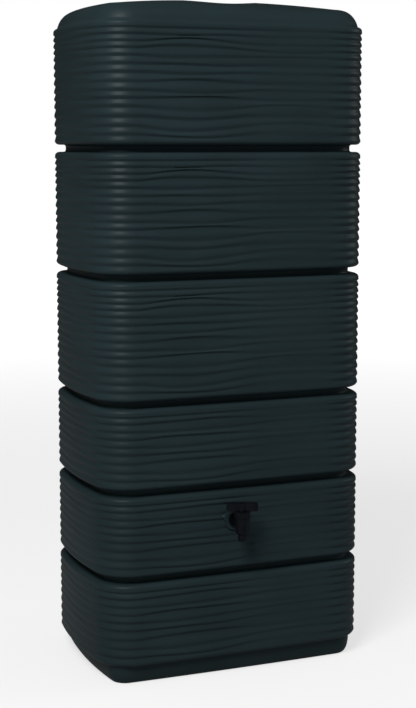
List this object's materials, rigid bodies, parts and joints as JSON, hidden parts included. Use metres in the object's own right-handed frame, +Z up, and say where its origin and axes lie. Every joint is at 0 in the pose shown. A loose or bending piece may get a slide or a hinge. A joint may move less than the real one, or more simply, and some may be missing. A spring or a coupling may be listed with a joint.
{
  "type": "slimline water tank",
  "caption": "Tall, narrow upright rainwater tank with ribbed walls divided by deep belts, a screw lid over the filling neck and a barrel tap low on the front.",
  "frame": {"origin": "on the floor, under the middle of the tank's plan outline", "axes": "+Z up, -Y out of the wide front face with the tap, +X to the right seen from the front"},
  "size_m": [0.7874, 0.5654, 1.7893],
  "materials": {
    "tank_skin": "satin moulded plastic, anthracite",
    "lid": "satin moulded plastic, anthracite",
    "seal": "matte black rubber",
    "insert": "turned brass",
    "tap": "black moulded plastic",
    "tap_handle": "black moulded plastic, slightly worn sheen",
    "screw": "zinc plated steel"
  },
  "bodies": {
    "tank": {"tank_body": "tank_skin", "tap_insert": "insert", "tap_washer": "seal", "tap_body": "tap", "tap_gland_nut": "tap"},
    "seal": {"lid_seal": "seal"},
    "lid": {"lid": "lid"},
    "plug": {"tap_plug": "tap", "plug_ring_lower": "seal", "plug_ring_upper": "seal", "tap_handle": "tap_handle", "handle_screw": "screw"}
  },
  "joints": [
    {"name": "tap_turn", "type": "hinge", "parent": "tank", "child": "plug", "pos_m": [-0.02, -0.297, 0.43], "axis": [0, 0, 1], "range_deg": [-70, 20]},
    {"name": "lid_rise", "type": "slide", "parent": "tank", "child": "seal", "axis": [0, 0, 1], "range_m": [0, 0.012]},
    {"name": "lid_turn", "type": "hinge", "parent": "seal", "child": "lid", "pos_m": [0, 0, 1.7775], "axis": [0, 0, 1], "range_deg": [0, 720]}
  ],
  "couplings": [
    {"joint": "lid_rise", "follows": "lid_turn", "m_per_rad": 0.00095493}
  ]
}
